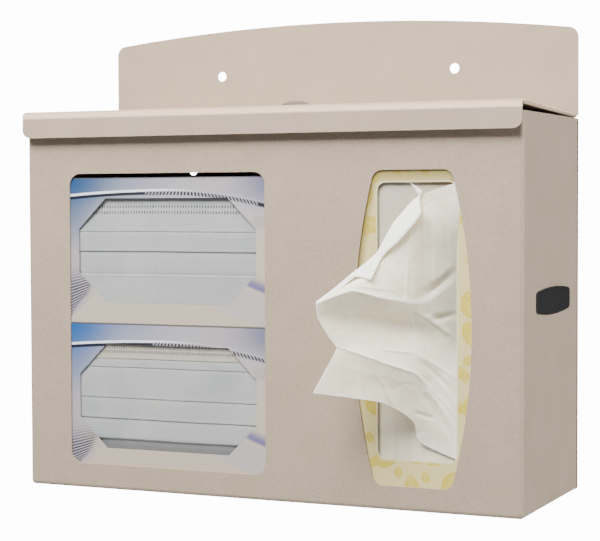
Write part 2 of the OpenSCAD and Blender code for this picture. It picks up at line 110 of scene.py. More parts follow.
def splitByRay(tree, outKind, light, seen):
    # the camera sees one shader, and all other rays meet the other one
    out, pick, rays = (tree.nodes.new(kind) for kind in (
        outKind, "ShaderNodeMixShader", "ShaderNodeLightPath"))
    tree.links.new(rays.outputs["Is Camera Ray"], pick.inputs["Fac"])
    for source, target in ((light, pick.inputs[1]), (seen, pick.inputs[2]), (pick, out.inputs["Surface"])):
        tree.links.new(source.outputs[0], target)


def addSurround(c):
    world = bpy.data.worlds.new("studio")
    bpy.context.scene.world = world
    world.use_nodes = True
    tree = world.node_tree
    tree.nodes.clear()
    light, seen = (tree.nodes.new("ShaderNodeBackground") for k in range(2))
    light.inputs["Color"].default_value = c["skyTint"]
    light.inputs["Strength"].default_value = c["skyLight"]
    seen.inputs["Color"].default_value = (1, 1, 1, 1)
    seen.inputs["Strength"].default_value = c["seenWhite"]
    splitByRay(tree, "ShaderNodeOutputWorld", light, seen)


def addFloor(c):
    mesh = bpy.data.meshes.new("studioFloor")
    reach, z = c["floorReach"], -(baseBelowHoles + c["floorDrop"]) / 1000
    mesh.from_pydata([(x * reach, y * reach, z) for x, y in ((-1, -1), (1, -1), (1, 1), (-1, 1))],
                     [], [(0, 1, 2, 3)])
    floor = addObject("studioFloor", mesh)
    mat = bpy.data.materials.new("paleFloor")
    mat.use_nodes = True
    tree = mat.node_tree
    tree.nodes.clear()
    matt = tree.nodes.new("ShaderNodeBsdfDiffuse")
    seen = tree.nodes.new("ShaderNodeEmission")
    matt.inputs["Color"].default_value = c["floorTone"]
    seen.inputs["Strength"].default_value = c["seenWhite"]
    splitByRay(tree, "ShaderNodeOutputMaterial", matt, seen)
    mesh.materials.append(mat)


addCamera(cameraSetup)
for lampName, lampSetup in lamps.items():
    addLamp(lampName, lampSetup)
addSurround(surround)
addFloor(surround)
print("camera, lights and floor done")


# node helpers: each one works in the tree of the socket that it is given

def put(tree, kind, **values):
    node = tree.nodes.new(kind)
    for key, value in values.items():
        setattr(node, key, value)
    return node


def feed(socket, value):
    if isinstance(value, bpy.types.NodeSocket):
        socket.id_data.links.new(value, socket)
    else:
        socket.default_value = value


def feedAll(node, settings):
    for label, value in settings.items():
        feed(node.inputs[label], value)
    return node.outputs


def calc(op, *args):
    tree = next(a for a in args if isinstance(a, bpy.types.NodeSocket)).id_data
    node = put(tree, "ShaderNodeMath", operation=op)
    for socket, value in zip(node.inputs, args):
        feed(socket, value)
    return node.outputs[0]


def add(a, b):
    return calc("ADD", a, b)


def sub(a, b):
    return calc("SUBTRACT", a, b)


def mul(product, *others):
    for other in others:
        product = calc("MULTIPLY", product, other)
    return product


def larger(a, b):
    return calc("MAXIMUM", a, b)


def diagonal(a, b):
    return calc("SQRT", add(mul(a, a), mul(b, b)))


def ramp(value, low, high, toLow=0.0, toHigh=1.0):
    node = put(value.id_data, "ShaderNodeMapRange", interpolation_type="SMOOTHSTEP")
    for socket, v in zip(node.inputs, (value, low, high, toLow, toHigh)):
        feed(socket, v)
    return node.outputs[0]


def blendColour(factor, a, b):
    node = put(factor.id_data, "ShaderNodeMix", data_type="RGBA")
    for k, value in ((0, factor), (6, a), (7, b)):
        feed(node.inputs[k], value)
    return node.outputs[2]


def parts(vector):
    node = put(vector.id_data, "ShaderNodeSeparateXYZ")
    feed(node.inputs[0], vector)
    return node.outputs


def inMillimetres(place):
    # across from the middle, and up from the bottom edge
    split = parts(place)
    return mul(split[0], 1000.0), calc("MULTIPLY_ADD", split[2], 1000.0, baseBelowHoles)


def pattern(kind, place, **settings):
    # a texture or a mapping at this place
    return feedAll(put(place.id_data, kind), {"Vector": place, **settings})


def useGroup(group, place, **settings):
    return feedAll(put(place.id_data, "ShaderNodeGroup", node_tree=group), {"Vector": place, **settings})


socketKinds = {int: "NodeSocketInt", float: "NodeSocketFloat", tuple: "NodeSocketVector",
               type(None): "NodeSocketMaterial"}


def newTree(kind, name, inputs, results):
    # inputs with their usual values, and numbers as results; a geometry goes in and out as well
    tree = bpy.data.node_groups.new(name, kind)
    if kind == "GeometryNodeTree":
        for side in ("INPUT", "OUTPUT"):
            tree.interface.new_socket("Geometry", in_out=side, socket_type="NodeSocketGeometry")
    for label, value in inputs.items():
        socket = tree.interface.new_socket(label, in_out="INPUT", socket_type=socketKinds[type(value)])
        if value is not None:
            socket.default_value = value
    for label in results:
        tree.interface.new_socket(label, in_out="OUTPUT", socket_type="NodeSocketFloat")
    return tree, tree.nodes.new("NodeGroupInput").outputs, tree.nodes.new("NodeGroupOutput").inputs


# shared effects

def makeGrain():
    # fine and coarse noise together, for anything with a rough skin
    group, given, result = newTree("ShaderNodeTree", "fineGrain", {
        "Vector": (0.0, 0.0, 0.0), "Scale": 500.0, "Coarse": 0.3}, ("Height", "Mottle"))
    fine = pattern("ShaderNodeTexNoise", given["Vector"], Scale=given["Scale"], Detail=3, Roughness=0.62)
    broad = pattern("ShaderNodeTexNoise", given["Vector"], Scale=mul(given["Scale"], 0.04), Detail=2)
    mixed = calc("MULTIPLY_ADD", sub(broad[0], 0.5), given["Coarse"], fine[0])
    feed(result["Height"], mixed)
    feed(result["Mottle"], ramp(mixed, 0.3, 0.7))
    return group


def makeFaceSpot():
    # places on a flat print: 0 to 1 across and up a carton's face
    group, given, result = newTree("ShaderNodeTree", "faceSpot", {
        "Vector": (0.0, 0.0, 0.0), "Left": 0.0, "Base": 0.0, "Width": 1.0, "Height": 1.0}, ("Across", "Up"))
    split = parts(given["Vector"])
    for label, k, start, size in (("Across", 0, "Left", "Width"), ("Up", 2, "Base", "Height")):
        feed(result[label], calc("DIVIDE", sub(split[k], given[start]), given[size]))
    return group


grainGroup = makeGrain()
faceGroup = makeFaceSpot()


# materials

def newMaterial(name, c, colour="colour"):
    mat = bpy.data.materials.new(name)
    mat.use_nodes = True
    shader = mat.node_tree.nodes["Principled BSDF"]
    feedAll(shader, {"Base Color": srgb(*c[colour]), "Roughness": c["rough"],
                     "Metallic": c.get("metallic", 0.0), "Specular IOR Level": c.get("specular", 0.5)})
    return mat, shader, put(mat.node_tree, "ShaderNodeTexCoord").outputs["Object"]


def grainAt(place, scale, coarse):
    return useGroup(grainGroup, place, Scale=scale, Coarse=coarse)


def bump(shader, height, strength, distance, under=None):
    node = put(shader.id_data, "ShaderNodeBump")
    feedAll(node, {"Strength": strength, "Distance": distance, "Height": height})
    if under is not None:
        feed(node.inputs["Normal"], under)
    feed(shader.inputs["Normal"], node.outputs["Normal"])
    return node.outputs["Normal"]


# plain skins. The grain has a scale and a coarseness. Some have a darker tone that it mixes in, a
# roughness that follows it, a stretch of it, or its bump's strength and depth
powderCoat = {"colour": (168, 149, 129), "dark": (156, 137, 118), "rough": 0.5, "specular": 0.4,
              "grain": (900, 0.25), "roughRange": (0.44, 0.58), "bump": (0.6, 0.00022)}
hingeSteel = {"colour": (175, 175, 173), "rough": 0.38, "metallic": 1.0, "grain": (2200, 0.4),
              "roughRange": (0.3, 0.48), "stretch": (0.04, 1, 1), "bump": (0.25, 0.0001)}
bumperRubber = {"colour": (113, 102, 90), "dark": (108, 96, 85), "rough": 0.55, "grain": (1500, 0.5),
                "bump": (0.2, 0.0001)}
labelGloss = {"colour": (38, 35, 34), "rough": 0.3, "specular": 0.3, "grain": (300, 0.6),
              "roughRange": (0.26, 0.38)}
weldMark = {"colour": (96, 97, 97), "dark": (84, 85, 86), "rough": 0.8, "specular": 0.3, "grain": (900, 0.5)}
# the lid's sheet turns over its front edge in a soft bend: where it starts, its radius, and a painted
# highlight: the lighter tone painted on the coat from there on
lidBend = {"from": 280.0, "radius": 3.1, "paintedHighlight": (200, 174, 145), "soft": 0.0025}


def makeSkin(name, c, bend=None):
    mat, shader, place = newMaterial(name, c)
    wide = pattern("ShaderNodeMapping", place, Scale=c["stretch"])[0] if "stretch" in c else place
    grain = grainAt(wide, *c["grain"])
    base, under = srgb(*c["colour"]), None
    if "dark" in c:
        base = blendColour(grain["Mottle"], srgb(*c["dark"]), base)
    if "roughRange" in c:
        feed(shader.inputs["Roughness"], ramp(grain["Height"], 0.3, 0.7, *c["roughRange"]))
    if bend:
        # metres above the bend's start, where the bump falls away like a circle of that radius
        rise = larger(sub(parts(place)[2], (bend["from"] - baseBelowHoles) / 1000), 0.0)
        under = bump(shader, mul(rise, rise, -500.0 / bend["radius"]), 1.0, 1.0)
        # painted highlight: the coat's tone is lightened along the bend
        base = blendColour(ramp(rise, 0.0, bend["soft"]), base, srgb(*bend["paintedHighlight"]))
    feed(shader.inputs["Base Color"], base)
    if "bump" in c:
        bump(shader, grain["Height"], *c["bump"], under)
    return mat


def onFace(place, face):
    # 1 on the front of a carton, 0 on its other sides, which are plain
    return ramp(parts(place)[1], (face + 0.9) / 1000, (face + 0.5) / 1000)


# the print on a carton of masks, in shares of its face's width and height: a pale ground, blue
# washes in the upper corners, a curved rule over the opening and a fan of fine strokes in the
# lower left corner. Each wash: its corner, how sharply it fades across and up, from where to where
maskBoard = {
    "left": -173.4, "width": 190.0, "height": 110.0, "bases": {"lower": 15.8, "upper": 125.8},
    "face": -138.3, "rough": 0.42, "ground": (180, 165, 149), "cool": (165, 160, 162),
    "plain": (186, 185, 188), "corner": (82, 90, 122), "streak": (96, 92, 132), "wedge": (166, 160, 158),
    "dots": (126, 116, 126), "dotScale": 560, "dotTurn": 0.6, "paintedSeamShade": (70, 66, 64),
    "washes": ((0.0, 1.05, 0.55, 1.0, 0.05, 0.42, "mist", 0.9),
               (0.02, 1.0, 0.72, 0.75, 0.02, 0.24, "sky", 0.95),
               (0.99, 0.97, 1.3, 1.2, 0.04, 0.33, "corner", 0.9)),
    "rule": (12, 14, 26), "underRule": (232, 232, 236), "bowMiddle": 0.5, "bowDrop": (0.17, 0.47),
    "dashes": 66, "stroke": (24, 30, 52), "strokes": 48.0, "fanLeft": 0.07, "fanGround": (146, 142, 152),
    "lower": {"sky": (19, 79, 141), "mist": (98, 114, 148), "bowTop": 0.867, "dashFrom": 0.44,
              "solidFrom": 1.0, "lift": 0.006, "fanRise": 0.1},
    # the upper carton's sky and mist are darker than the lower one's: painted shade of the housing over the
    # upper carton
    "upper": {"sky": (22, 66, 108), "mist": (90, 104, 130), "bowTop": 0.893, "dashFrom": 0.41,
              "solidFrom": 0.9, "lift": 0.021, "fanRise": 0.0},
}


def makeMaskBoard(c, level):
    c = {**c, **c[level]}
    mat, shader, place = newMaterial("maskBoard_" + level, c, "ground")
    face = useGroup(faceGroup, place, Left=c["left"] / 1000, Base=(c["bases"][level] - baseBelowHoles) / 1000,
                    Width=c["width"] / 1000, Height=c["height"] / 1000)
    across, up = face["Across"], face["Up"]

    def lay(base, mask, tone, amount):
        return blendColour(mul(mask, amount), base, srgb(*c[tone]))

    base = blendColour(ramp(up, 0.5, 0.85), srgb(*c["ground"]), srgb(*c["cool"]))
    left = ramp(across, 0.26, 0.06)
    inFan = sub(across, c["fanLeft"])
    raised = add(up, c["fanRise"])
    beyond = sub(raised, calc("MULTIPLY_ADD", inFan, 1.47, 0.041))
    base = lay(base, mul(left, ramp(beyond, -0.01, 0.012)), "fanGround", 0.85)
    base = lay(base, mul(left, ramp(up, 0.45, 0.75)), "mist", 0.9)
    for cornerX, cornerUp, sharpX, sharpUp, near, far, tone, amount in c["washes"]:
        away = diagonal(mul(sub(across, cornerX), sharpX), mul(sub(up, cornerUp), sharpUp))
        base = lay(base, ramp(away, far, near), tone, amount)

    # a soft streak and a cool wedge in the lower right corner
    fall = calc("MULTIPLY_ADD", sub(across, 0.86), 0.62, sub(up, c["lift"]))
    streak = mul(ramp(fall, 0.235, 0.262), ramp(fall, 0.35, 0.265))
    base = lay(base, mul(streak, ramp(across, 0.81, 0.87)), "streak", 0.95)
    wedge = mul(ramp(calc("MULTIPLY_ADD", across, 0.55, up), 0.5, 0.52), ramp(fall, 0.235, 0.205),
                ramp(across, 0.7, 0.73))
    base = lay(base, wedge, "wedge", 0.9)

    # fine dots in the upper right, and a small patch of them below
    flat = pattern("ShaderNodeMapping", place, Rotation=(0, c["dotTurn"], 0), Scale=(1, 0, 1))[0]
    dots = pattern("ShaderNodeTexVoronoi", flat, Scale=c["dotScale"], Randomness=0)["Distance"]
    zone = mul(ramp(across, 0.5, 0.78), ramp(up, 0.8, 0.9))
    patch = mul(ramp(across, 0.87, 0.89), ramp(up, 0.645, 0.665), ramp(up, 0.75, 0.73))
    base = lay(base, mul(ramp(dots, 0.42, 0.22), larger(zone, patch)), "dots", 0.8)

    # the curved rule: a pale line with a dark one under it, which turns into slanted dashes
    off = sub(across, c["bowMiddle"])
    dropLeft, dropRight = c["bowDrop"]
    drop = calc("MULTIPLY_ADD", calc("GREATER_THAN", off, 0.0), dropRight - dropLeft, dropLeft)
    bow = add(mul(off, off, drop), sub(up, c["bowTop"]))
    pale = ramp(calc("ABSOLUTE", sub(bow, 0.019)), 0.012, 0.005)
    base = lay(base, mul(pale, ramp(across, 0.66, 0.45, 0.1, 1.0)), "underRule", 0.9)
    lean = calc("MULTIPLY_ADD", bow, ramp(across, 0.45, 0.75, -0.35, 0.4), across)
    dash = calc("GREATER_THAN", calc("FRACT", mul(lean, c["dashes"])), 0.42)
    whole = larger(ramp(across, c["dashFrom"] + 0.001, c["dashFrom"]),
                   ramp(across, c["solidFrom"], c["solidFrom"] + 0.001))
    half = calc("MULTIPLY_ADD", ramp(across, c["dashFrom"], c["dashFrom"] + 0.02), 0.007, 0.012)
    dark = ramp(calc("ABSOLUTE", bow), half, 0.008)
    base = lay(base, mul(dark, larger(dash, whole)), "rule", 0.95)

    # the fan: each stroke rises from the left, more steeply the lower it starts, and start is its
    # height there; room is below zero under the lowest stroke
    room = sub(mul(raised, raised), mul(larger(inFan, 0.0), 0.48))
    start = mul(add(raised, calc("SQRT", larger(room, 0.0))), 0.5)
    stroke = calc("FRACT", mul(start, c["strokes"]))
    stroke = mul(ramp(stroke, 0.3, 0.5), ramp(stroke, 1.0, 0.85))
    reach = mul(ramp(room, 0.0, 0.003), ramp(calc("MULTIPLY_ADD", raised, -0.33, inFan), 0.025, -0.005),
                ramp(start, 0.42, 0.22))
    base = lay(base, mul(stroke, reach), "stroke", 0.95)

    # painted shade in the grooves along the folded edges at the top and the bottom, where the cartons meet
    base = lay(base, larger(ramp(up, 0.009, 0.003), ramp(up, 0.99, 0.997)), "paintedSeamShade", 0.85)
    feed(shader.inputs["Base Color"], blendColour(onFace(place, c["face"]), srgb(*c["plain"]), base))
    bump(shader, grainAt(place, 700, 0.8)["Height"], 0.12, 0.0001)
    return mat


# the print on the carton of tissues: cream with pale yellow petals and bare board along the tear
# line of its opening, with painted shade from the housing's window edge that deepens it toward the
# edges. Each layer of petals: cell, length and breadth in mm, and shift. The opening: middle, half
# width, half height and corner
tissueBoard = {"ground": (206, 191, 133), "petal": (194, 171, 50), "heart": (199, 180, 80),
               "deep": (128, 112, 52), "bare": (212, 203, 167), "rough": 0.45,
               "layers": ((26, 20, 11.5, 4.35), (21, 9, 6, 7.7)), "middle": (117.22, 128.3), "top": 239.3,
               "halfWidth": 43.4, "narrowing": 14.7, "opening": (120.02, 133.3, 29.4, 97.25, 6),
               "face": -138.3}


def makePetals():
    # one leaf-shaped petal in each cell of a loose grid, turned at random; lengths in metres
    group, given, result = newTree("ShaderNodeTree", "petals", {
        "Vector": (0.0, 0.0, 0.0), "Cell": 0.022, "Length": 0.018, "Breadth": 0.009, "Shift": 0.0},
        ("Mask", "Heart"))
    split = parts(given["Vector"])
    flat = put(group, "ShaderNodeCombineXYZ")
    for source, target in ((0, 0), (2, 1)):
        spread = calc("DIVIDE", add(split[source], split[1]), given["Cell"])
        feed(flat.inputs[target], add(spread, given["Shift"]))
    cells = feedAll(put(group, "ShaderNodeTexVoronoi", voronoi_dimensions="2D"), {
        "Vector": flat.outputs[0], "Scale": 1, "Randomness": 0.7})
    away = put(group, "ShaderNodeVectorMath", operation="SUBTRACT")
    feed(away.inputs[0], flat.outputs[0])
    feed(away.inputs[1], cells["Position"])
    chance = put(group, "ShaderNodeSeparateColor")
    feed(chance.inputs[0], cells["Color"])
    turned = feedAll(put(group, "ShaderNodeVectorRotate", rotation_type="Z_AXIS"), {
        "Vector": away.outputs[0], "Angle": mul(chance.outputs[0], 2 * math.pi)})
    own = parts(turned[0])
    double = mul(given["Cell"], 2.0)
    along = calc("DIVIDE", mul(own[0], double), given["Length"])
    beside = calc("ABSOLUTE", calc("DIVIDE", mul(own[1], double), given["Breadth"]))
    rim = sub(add(beside, mul(along, along)), 1.0)
    feed(result["Mask"], ramp(rim, 0.06, -0.06))
    feed(result["Heart"], ramp(beside, 0.5, 0.05))
    return group


petalGroup = makePetals()


def makeTissueBoard(c):
    mat, shader, place = newMaterial("tissueBoard", c, "ground")
    base = srgb(*c["ground"])
    for cell, length, breadth, shift in c["layers"]:
        petals = useGroup(petalGroup, place, Cell=cell / 1000, Length=length / 1000, Breadth=breadth / 1000,
                          Shift=shift)
        inner = blendColour(petals["Heart"], srgb(*c["petal"]), srgb(*c["heart"]))
        base = blendColour(mul(petals["Mask"], 0.85), base, inner)

    # painted shade of the housing's window edge: deeper along the top and along the window's tapering sides
    x, z = inMillimetres(place)
    rise = calc("DIVIDE", sub(z, c["middle"][1]), c["top"] - c["middle"][1])
    nearEdge = calc("MULTIPLY_ADD", mul(rise, rise), c["narrowing"], c["middle"][0] - c["halfWidth"])
    farEdge = sub(2 * c["middle"][0], nearEdge)
    deep = larger(ramp(z, c["top"] - 13, c["top"] - 2),
                  mul(ramp(sub(x, nearEdge), 6.5, 0.5), ramp(rise, -0.4, 0.5)))
    deep = larger(deep, mul(ramp(sub(farEdge, x), 8, 1), ramp(rise, 0.75, 0.95)))
    base = blendColour(mul(deep, 0.75, onFace(place, c["face"])), base, srgb(*c["deep"]))

    # how far each spot lies outside the opening's rounded edge
    midX, midZ, halfX, halfZ, corner = c["opening"]
    sides = [larger(sub(calc("ABSOLUTE", sub(v, middle)), half - corner), 0.0)
             for v, middle, half in ((x, midX, halfX), (z, midZ, halfZ))]
    torn = ramp(diagonal(*sides), corner + 1.3, corner + 0.7)
    feed(shader.inputs["Base Color"], blendColour(mul(torn, 0.9), base, srgb(*c["bare"])))
    bump(shader, grainAt(place, 650, 0.8)["Height"], 0.15, 0.0001)
    return mat


# the fleece with its thin spots, and the warm light on the lower mask's bottom hem between two heights
maskFleece = {"colour": (160, 160, 157), "shade": (152, 153, 152), "thin": (148, 149, 150),
              "warm": (166, 160, 146), "warmFrom": 99.4, "warmTo": 112.0, "rough": 0.85, "specular": 0.2}


def makeMaskFleece(c):
    mat, shader, place = newMaterial("maskFleece", c)
    shader.inputs["Sheen Weight"].default_value = 0.15
    grain = grainAt(place, 420, 0.9)
    cells = pattern("ShaderNodeTexVoronoi", place, Scale=900, Randomness=0.25)
    cloud = pattern("ShaderNodeTexNoise", place, Scale=32, Detail=2.5)[0]
    cloth = blendColour(grain["Mottle"], srgb(*c["shade"]), srgb(*c["colour"]))
    cloth = blendColour(ramp(cloud, 0.4, 0.75), cloth, srgb(*c["thin"]))
    height = inMillimetres(place)[1]
    hem = mul(ramp(height, c["warmFrom"] - 0.3, c["warmFrom"] + 0.3),
              ramp(height, c["warmTo"], c["warmTo"] - 1))
    feed(shader.inputs["Base Color"], blendColour(hem, cloth, srgb(*c["warm"])))
    pits = calc("MULTIPLY_ADD", ramp(cells["Distance"], 0.15, 0.4), 0.5, grain["Height"])
    bump(shader, pits, 0.35, 0.00015)
    return mat


# the paper where it lies double or single, and its dusk, the painted shade near the carton, which
# sets in between two places across and ends between two heights, a low pair and a high one. The
# double tone also lends a painted highlight to thin edges and ridges. The glow is painted light: an
# emission that stands in for the light that comes through it
tissuePaper = {"double": (255, 252, 242), "paintedGlowStrength": 0.35, "rough": 0.9, "specular": 0.2,
               "pulled": {"colour": (252, 239, 213), "shade": (243, 228, 199), "dusk": (178, 168, 148),
                          "paintedGlow": (114, 101, 76), "from": (118, 149), "low": (95, 128), "high": (222, 190)},
               # the pile's tones are darker than the pulled sheet's: painted shade inside the carton
               "pile": {"colour": (239, 226, 202), "shade": (227, 213, 187), "dusk": (190, 181, 163),
                        "paintedGlow": (0, 0, 0), "from": (0, 1), "low": (110, 215), "high": (400, 399)}}


def makeTissuePaper(c, kind):
    c = {**c, **c[kind]}
    mat, shader, place = newMaterial("tissuePaper_" + kind, c)
    feedAll(shader, {"Subsurface Weight": 0.2, "Subsurface Scale": 0.003,
                     "Emission Strength": c["paintedGlowStrength"]})
    upright = pattern("ShaderNodeMapping", place, Scale=(1, 1, 0.06))[0]
    lines, grain = grainAt(upright, 260, 1.6), grainAt(place, 700, 1.0)
    single = blendColour(lines["Mottle"], srgb(*c["shade"]), srgb(*c["colour"]))
    x, z = inMillimetres(place)
    dusk = mul(ramp(x, *c["from"]), ramp(z, *c["low"]), ramp(z, *c["high"]))
    single = blendColour(dusk, single, srgb(*c["dusk"]))
    # where the hem lies double, and a painted highlight along thin edges and ridges, standing in for the
    # light that passes through them
    hem = put(mat.node_tree, "ShaderNodeAttribute", attribute_name="hem").outputs["Fac"]
    feed(shader.inputs["Base Color"], blendColour(hem, single, srgb(*c["double"])))
    # painted light: the sheet glows faintly, and its bright edges and ridges most
    feed(shader.inputs["Emission Color"], blendColour(
        calc("POWER", hem, 3.0), srgb(*c["paintedGlow"]), srgb(*c["double"])))
    crinkle = pattern("ShaderNodeTexNoise", place, Scale=34, Detail=2.5, Distortion=0.4)[0]
    under = bump(shader, ramp(calc("ABSOLUTE", sub(crinkle, 0.5)), 0.0, 0.09), 0.3, 0.0007)
    under = bump(shader, lines["Height"], 0.35, 0.0006, under)
    bump(shader, grain["Height"], 0.25, 0.0002, under)
    return mat


materials = {
    "powder_coat": makeSkin("powderCoat", powderCoat),
    "powder_coat_lid": makeSkin("powderCoatLid", powderCoat, lidBend),
    "hinge_steel": makeSkin("hingeSteel", hingeSteel),
    "bumper": makeSkin("bumperRubber", bumperRubber),
    "label": makeSkin("labelGloss", labelGloss),
    "mask_board": makeMaskBoard(maskBoard, "lower"),
    "mask_board_upper": makeMaskBoard(maskBoard, "upper"),
    "tissue_board": makeTissueBoard(tissueBoard),
    "mask_fleece": makeMaskFleece(maskFleece),
    "tissue_paper": makeTissuePaper(tissuePaper, "pulled"),
    "tissue_paper_pile": makeTissuePaper(tissuePaper, "pile"),
}
weldMaterial = makeSkin("weldMark", weldMark)

# nodes whose look isn't simply that of their slot
ownLooks = {"mask_carton_upper": "mask_board_upper", "lid": "powder_coat_lid"}
for part in frame["record"]["subparts"]:
    node = nodes[part["node"]]
    look = materials[ownLooks.get(part["node"], part["material_slot"])]
    node.data.materials.clear()
    node.data.materials.append(look)
print("materials done")


# mesh helpers

def meshPiece(name, points, faces, material, smooth=True):
    mesh = bpy.data.meshes.new(name)
    mesh.from_pydata(points, [], faces)
    mesh.materials.append(material)
    mesh.update()
    for face in mesh.polygons:
        face.use_smooth = smooth
    return addObject(name, mesh)


def gridFaces(rows, cols):
    return [(j * cols + i, j * cols + i + 1, (j + 1) * cols + i + 1, (j + 1) * cols + i)
            for j in range(rows - 1) for i in range(cols - 1)]


def applied(piece):
    # turns what the modifiers make into a plain mesh
    shown = piece.evaluated_get(bpy.context.evaluated_depsgraph_get())
    mesh = bpy.data.meshes.new_from_object(shown)
    piece.modifiers.clear()
    piece.data = mesh
    return piece


def thicken(piece, thickness):
    # half to each side of the given sheet
    solid = piece.modifiers.new("thickness", "SOLIDIFY")
    solid.thickness = thickness / 1000
    solid.offset = 0
    return applied(piece)


def closeUp(piece):
    # outward faces on a closed mesh
    bm = bmesh.new()
    bm.from_mesh(piece.data)
    bmesh.ops.remove_doubles(bm, verts=bm.verts, dist=1e-7)
    bmesh.ops.recalc_face_normals(bm, faces=bm.faces)
    bm.to_mesh(piece.data)
    bm.free()
    return piece


# Geometry Nodes trees for what repeats

def runTree(piece, tree, **values):
    mod = piece.modifiers.new(tree.name, "NODES")
    mod.node_group = tree
    for item in tree.interface.items_tree:
        if item.in_out == "INPUT" and item.name in values:
            mod[item.identifier] = values[item.name]
    return applied(piece)


def finishTree(instances, given, result):
    tree = instances.id_data
    real = feedAll(put(tree, "GeometryNodeRealizeInstances"), {0: instances})[0]
    feed(result["Geometry"], feedAll(put(tree, "GeometryNodeSetMaterial"), {
        "Geometry": real, "Material": given["Material"]})[0])
    return tree


def makePile():
    # copies of one folded sheet side by side, each a little out of line
    tree, given, result = newTree("GeometryNodeTree", "pileOfSheets", {
        "Count": 20, "Pitch": 0.004, "Jitter": 0.0004, "Seed": 3, "Material": None}, ())
    step = feedAll(put(tree, "ShaderNodeCombineXYZ"), {"Y": given["Pitch"]})[0]
    line = feedAll(put(tree, "GeometryNodeMeshLine", mode="OFFSET"), {
        "Count": given["Count"], "Offset": step})
    sheets = feedAll(put(tree, "GeometryNodeInstanceOnPoints"), {
        "Points": line["Mesh"], "Instance": given["Geometry"]})[0]
    reach = feedAll(put(tree, "ShaderNodeCombineXYZ"), {
        "X": mul(given["Jitter"], 1.5), "Z": given["Jitter"]})[0]
    back = feedAll(put(tree, "ShaderNodeVectorMath", operation="SCALE"), {0: reach, "Scale": -1.0})[0]
    wander = feedAll(put(tree, "FunctionNodeRandomValue", data_type="FLOAT_VECTOR"), {
        0: back, 1: reach, "Seed": given["Seed"]})[0]
    move = feedAll(put(tree, "GeometryNodeTranslateInstances"), {"Instances": sheets, "Translation": wander})
    return finishTree(move[0], given, result)


def makeRow():
    # small flattened bits set along the edges of the given line
    tree, given, result = newTree("GeometryNodeTree", "rowOfBits", {
        "Spacing": 0.002, "Size": (0.001, 0.0003, 0.0005), "Jitter": 0.1, "Seed": 5, "Material": None}, ())
    curve = feedAll(put(tree, "GeometryNodeMeshToCurve"), {"Mesh": given["Geometry"]})[0]
    even = feedAll(put(tree, "GeometryNodeResampleCurve", mode="LENGTH"), {
        "Curve": curve, "Length": given["Spacing"]})[0]
    ball = feedAll(put(tree, "GeometryNodeMeshIcoSphere"), {"Radius": 0.5, "Subdivisions": 2})["Mesh"]
    along = feedAll(put(tree, "FunctionNodeAlignRotationToVector", axis="X"), {
        "Vector": put(tree, "GeometryNodeInputTangent").outputs[0]})[0]
    vary = feedAll(put(tree, "FunctionNodeRandomValue", data_type="FLOAT"), {
        2: sub(1.0, given["Jitter"]), 3: add(1.0, given["Jitter"]), "Seed": given["Seed"]})[1]
    size = feedAll(put(tree, "ShaderNodeVectorMath", operation="SCALE"), {0: given["Size"], "Scale": vary})[0]
    bits = feedAll(put(tree, "GeometryNodeInstanceOnPoints"), {
        "Points": even, "Instance": ball, "Rotation": along, "Scale": size})[0]
    return finishTree(bits, given, result)


pileTree = makePile()
rowTree = makeRow()


def linePiece(name, lines):
    # edges only: each line is a list of points
    points, edges = [], []
    for line in lines:
        start = len(points)
        points += line
        edges += [(start + i, start + i + 1) for i in range(len(line) - 1)]
    mesh = bpy.data.meshes.new(name)
    mesh.from_pydata(points, edges, [])
    return addObject(name, mesh)


print("helpers done")

# masks

bays = {"maskMiddle": -78.4, "tissueMiddle": 120.0}
maskStack = {"width": 173, "rise": 0.5, "height": 92.6, "fold": 3.2, "foldRadius": 0.7, "pitch": 4.0,
             "count": 21, "jitter": 0.5, "bases": {"lower": 16.5, "upper": 126.5},
             "front": {"lower": -131.6, "upper": -133.9}, "seed": {"lower": 3, "upper": 8}}


def foldedSlab(name, width, low, high, front, depth, centre, radius):
    # one folded sheet, with rounded folds at the top and the bottom
    ring = []
    for cz, start in ((high - radius, 0), (low + radius, 180)):
        for k in range(7):
            a = math.radians(start + 30 * k)
            ring.append((front + depth / 2 + math.cos(a) * depth / 2, cz + math.sin(a) * radius))
    n = len(ring)
    points = [spot(centre + s * width / 2, y, z) for s in (-1, 1) for y, z in ring]
    faces = [tuple(range(n)), tuple(range(2 * n - 1, n - 1, -1))]
    faces += [(i, i + n, (i + 1) % n + n, (i + 1) % n) for i in range(n)]
    return closeUp(meshPiece(name, points, faces, materials["mask_fleece"], smooth=False))


for level in ("lower", "upper"):
    c = maskStack
    base = c["bases"][level]
    pile = foldedSlab("maskPile_" + level, c["width"], base + c["rise"], base + c["height"],
                      c["front"][level], c["fold"], bays["maskMiddle"], c["foldRadius"])
    runTree(pile, pileTree, Count=c["count"], Pitch=c["pitch"] / 1000, Jitter=c["jitter"] / 1000,
            Seed=c["seed"][level], Material=materials["mask_fleece"])
    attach(pile, "station")
    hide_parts("mask_stack_" + level)
print("mask piles done")

# each pleat: how far below the mask's top it lies, how deep the step behind its lip is, and which
# panel is in front there: 1 the upper one, -1 the lower one. Tuck: how far the bottom hem turns back
# and how far it goes on down. Welds: rows below the top, set in bits of this pitch and size
frontMask = {
    "width": 174, "face": -137.05, "layer": 0.42, "thickness": 0.28, "overlap": 6.5,
    "wave": (0.16, 0.35), "cols": 61, "gap": 2.0, "weldEnd": 4, "weldPoints": 90,
    "weldSize": (0.5, 0.4, 2.6), "weldJitter": 0.12,
    "lower": {"top": 124.4, "low": 38.4, "lean": 0.3, "welds": (16.2, 19.6), "pitch": 1.5,
              "pleats": ((25.0, 0.18, 1), (31.4, 0.25, 1), (54.7, 0.3, 1), (70.4, 0.5, 1)),
              "tuck": (4.3, 9.5)},
    "upper": {"top": 221.3, "low": 127.0, "lean": 1.7, "welds": (7.6, 11.9), "pitch": 2.3,
              "pleats": ((26.3, 0.12, 1), (40.9, 0.65, 1), (58.2, 0.4, -1)), "tuck": (0.6, 0.3)},
}


